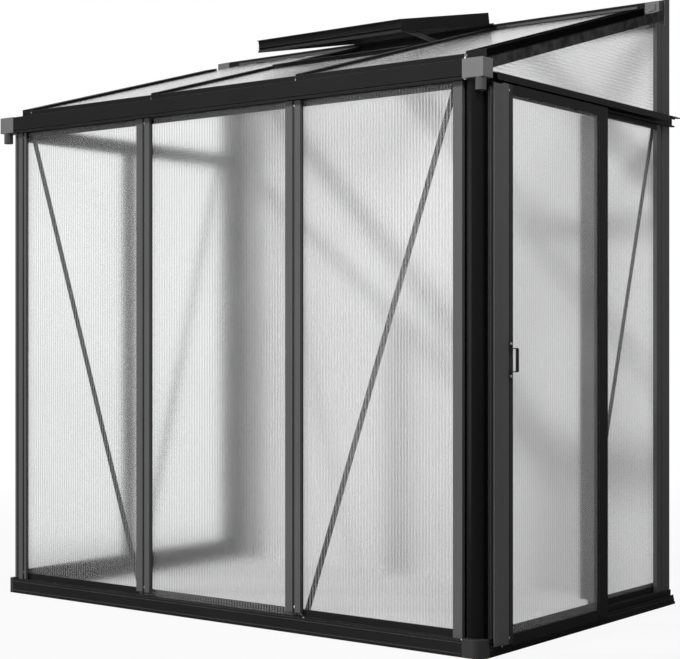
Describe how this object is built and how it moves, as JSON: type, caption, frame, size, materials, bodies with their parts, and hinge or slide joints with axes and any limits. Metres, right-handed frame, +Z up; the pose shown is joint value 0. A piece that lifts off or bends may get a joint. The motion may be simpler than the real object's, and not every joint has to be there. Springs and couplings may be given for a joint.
{
  "type": "lean-to greenhouse",
  "caption": "Lean-to greenhouse with a black frame, translucent twin-wall sheets, a sliding gable door and a hinged roof vent.",
  "frame": {"origin": "middle of the whole part's footprint, at ground level", "axes": "+X along the front towards the door's gable, +Y back towards the house wall, +Z up"},
  "size_m": [1.969, 1.181, 1.9705],
  "materials": {
    "black_coat": "black powder coat on extruded aluminium",
    "bar_coat": "anthracite powder coat on extruded aluminium",
    "grey_plastic": "moulded grey plastic with a fine grain",
    "twin_wall_sheet": "translucent twin-wall polycarbonate with fine flutes",
    "steel": "satin steel"
  },
  "bodies": {
    "house": {"base_front": "black_coat", "base_left": "black_coat", "base_right": "black_coat", "gable_rail_left": "black_coat", "gable_rail_right": "black_coat", "gutter": "black_coat", "roof_bar_1": "black_coat", "roof_bar_2": "black_coat", "verge_left": "black_coat", "verge_right": "black_coat", "ridge": "black_coat", "vent_sill": "black_coat", "brace_front_left": "black_coat", "brace_front_right": "black_coat", "brace_gable_left": "black_coat", "brace_gable_right": "black_coat", "door_track": "black_coat", "corner_post_left": "bar_coat", "corner_post_right": "bar_coat", "front_bar_1": "bar_coat", "front_bar_2": "bar_coat", "gable_bar_left": "bar_coat", "gable_bar_right": "bar_coat", "wall_post_left": "bar_coat", "wall_post_right": "bar_coat", "door_jamb": "bar_coat", "base_cap_left": "grey_plastic", "base_cap_right": "grey_plastic", "gutter_end_left": "grey_plastic", "gutter_end_right": "grey_plastic", "ridge_cap_left": "grey_plastic", "ridge_cap_right": "grey_plastic", "front_sheet_1": "twin_wall_sheet", "front_sheet_2": "twin_wall_sheet", "front_sheet_3": "twin_wall_sheet", "roof_sheet_1": "twin_wall_sheet", "roof_sheet_2": "twin_wall_sheet", "roof_sheet_3": "twin_wall_sheet", "gable_sheet_left_1": "twin_wall_sheet", "gable_sheet_left_2": "twin_wall_sheet", "gable_sheet_right": "twin_wall_sheet", "triangle_sheet_left": "twin_wall_sheet", "triangle_sheet_right": "twin_wall_sheet"},
    "door": {"door_stile_front": "bar_coat", "door_stile_rear": "bar_coat", "door_rail_top": "black_coat", "door_rail_bottom": "black_coat", "door_sheet": "twin_wall_sheet", "door_handle": "black_coat"},
    "roller_front": {"door_roller_1": "grey_plastic"},
    "roller_rear": {"door_roller_2": "grey_plastic"},
    "vent": {"vent_rail_front": "black_coat", "vent_rail_left": "black_coat", "vent_rail_right": "black_coat", "vent_rail_hinge": "black_coat", "vent_sheet": "twin_wall_sheet"},
    "stay": {"vent_stay": "steel"}
  },
  "joints": [
    {"name": "door_slide", "type": "slide", "parent": "house", "child": "door", "axis": [0, 1, 0], "range_m": [0, 0.465]},
    {"name": "roller_front_turn", "type": "hinge", "parent": "door", "child": "roller_front", "pos_m": [0.9405, -0.389, 1.5478], "axis": [1, 0, 0], "range_deg": [-4460, 20]},
    {"name": "roller_rear_turn", "type": "hinge", "parent": "door", "child": "roller_rear", "pos_m": [0.9405, -0.021, 1.5478], "axis": [1, 0, 0], "range_deg": [-4460, 20]},
    {"name": "vent_hinge", "type": "hinge", "parent": "house", "child": "vent", "pos_m": [0, 0.4945, 1.9345], "axis": [-1, 0, 0], "range_deg": [-4.4, 35]},
    {"name": "stay_hinge", "type": "hinge", "parent": "vent", "child": "stay", "pos_m": [0.2615, 0.03225, 1.84912], "axis": [1, 0, 0], "range_deg": [-20, 4]}
  ],
  "couplings": [
    {"joint": "roller_front_turn", "follows": "door_slide", "rad_per_m": -166.67},
    {"joint": "roller_rear_turn", "follows": "door_slide", "rad_per_m": -166.67},
    {"joint": "stay_hinge", "follows": "vent_hinge", "ratio": -0.457}
  ]
}
